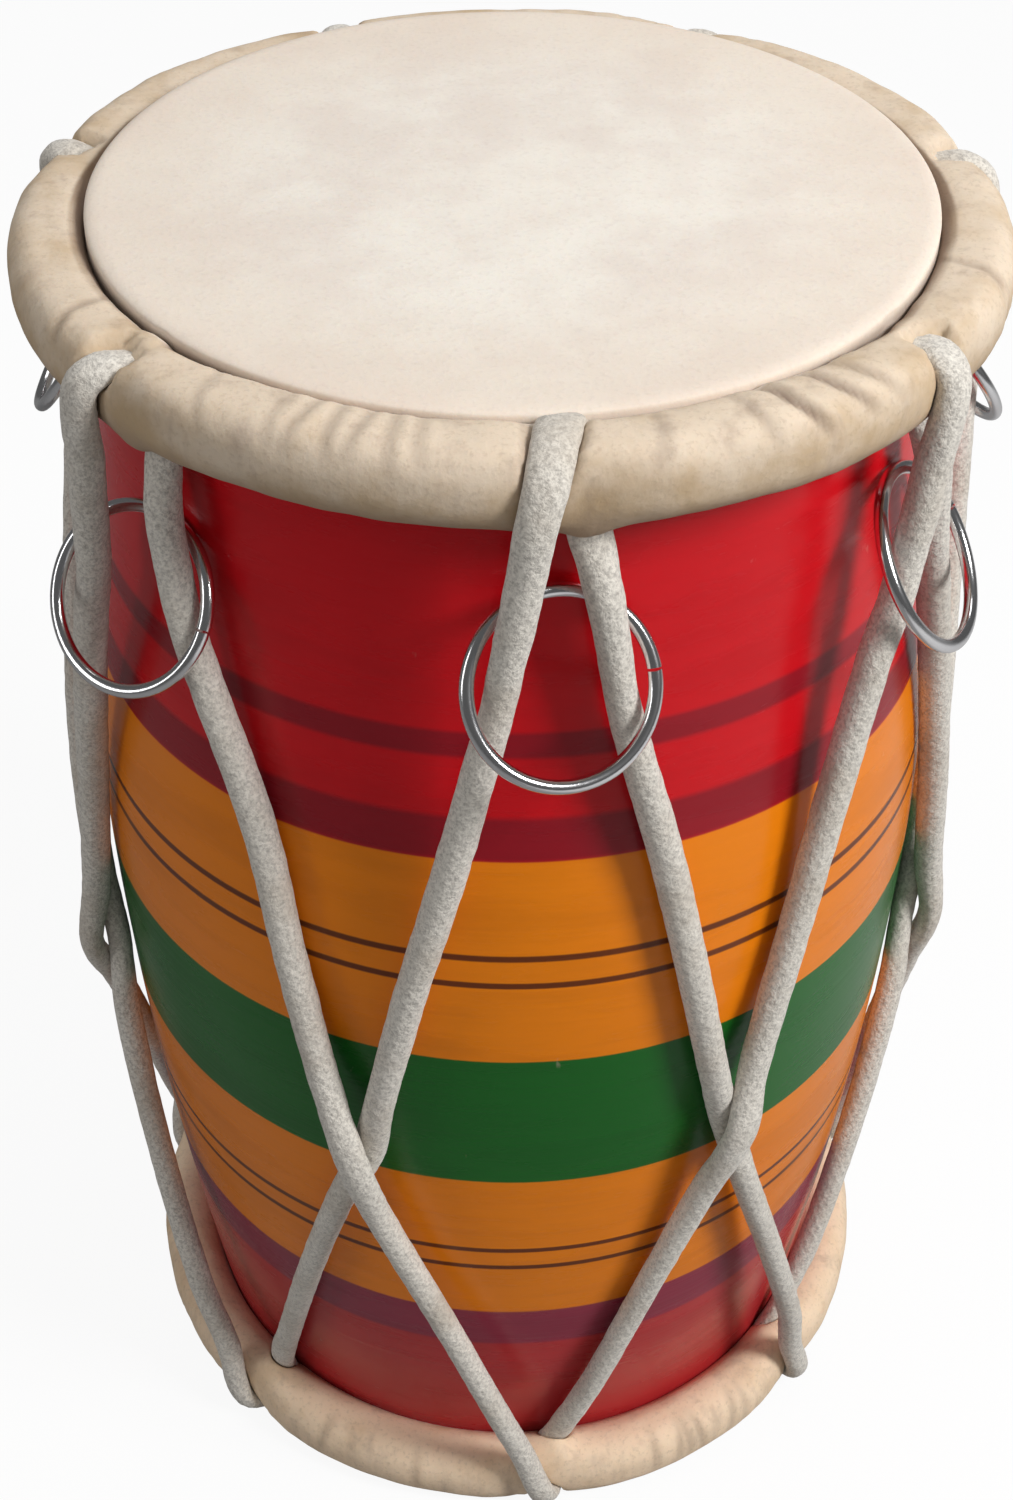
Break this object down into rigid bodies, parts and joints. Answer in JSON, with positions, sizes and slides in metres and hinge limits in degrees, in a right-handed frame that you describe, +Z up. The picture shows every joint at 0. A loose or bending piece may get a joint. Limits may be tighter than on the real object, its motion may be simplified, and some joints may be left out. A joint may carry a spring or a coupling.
{
  "type": "dholak",
  "caption": "Small two-headed barrel drum with skin heads, cord lacing between its rims, and wire tuning rings that slide along the lacing.",
  "frame": {"origin": "centre of the narrow head's flat membrane, on which the drum stands", "axes": "+Z up the drum's axis to the wide head; azimuth 0 is seen from -Y, with the first ring near it"},
  "size_m": [0.2001, 0.2041, 0.3014],
  "materials": {
    "painted_wood": "gloss lacquer in red, orange and green bands",
    "bass_hide": "matt goat skin",
    "treble_hide": "matt goat skin",
    "iron_hoop": "dull",
    "tuning_paste": "matt tar-like paste",
    "cotton_cord": "undyed cotton",
    "steel_wire": "bright"
  },
  "bodies": {
    "drum": {"shell": "painted_wood", "bass_skin": "bass_hide", "bass_hoop": "iron_hoop", "treble_skin": "treble_hide", "treble_hoop": "iron_hoop", "tuning_paste": "tuning_paste", "lacing_cord": "cotton_cord", "cord_knot": "cotton_cord"},
    "ring_1": {"tuning_ring_1": "steel_wire"},
    "ring_2": {"tuning_ring_2": "steel_wire"},
    "ring_3": {"tuning_ring_3": "steel_wire"},
    "ring_4": {"tuning_ring_4": "steel_wire"},
    "ring_5": {"tuning_ring_5": "steel_wire"},
    "ring_6": {"tuning_ring_6": "steel_wire"},
    "ring_7": {"tuning_ring_7": "steel_wire"}
  },
  "joints": [
    {"name": "ring_1_slide", "type": "slide", "parent": "drum", "child": "ring_1", "axis": [0, 0, 1], "range_m": [-0.0038, 0.0022]},
    {"name": "ring_2_slide", "type": "slide", "parent": "drum", "child": "ring_2", "axis": [0, 0, 1], "range_m": [-0.0034, 0.0026]},
    {"name": "ring_3_slide", "type": "slide", "parent": "drum", "child": "ring_3", "axis": [0, 0, 1], "range_m": [0, 0.006]},
    {"name": "ring_4_slide", "type": "slide", "parent": "drum", "child": "ring_4", "axis": [0, 0, 1], "range_m": [0, 0.006]},
    {"name": "ring_5_slide", "type": "slide", "parent": "drum", "child": "ring_5", "axis": [0, 0, 1], "range_m": [0, 0.006]},
    {"name": "ring_6_slide", "type": "slide", "parent": "drum", "child": "ring_6", "axis": [0, 0, 1], "range_m": [-0.005, 0.001]},
    {"name": "ring_7_slide", "type": "slide", "parent": "drum", "child": "ring_7", "axis": [0, 0, 1], "range_m": [0, 0.006]}
  ]
}
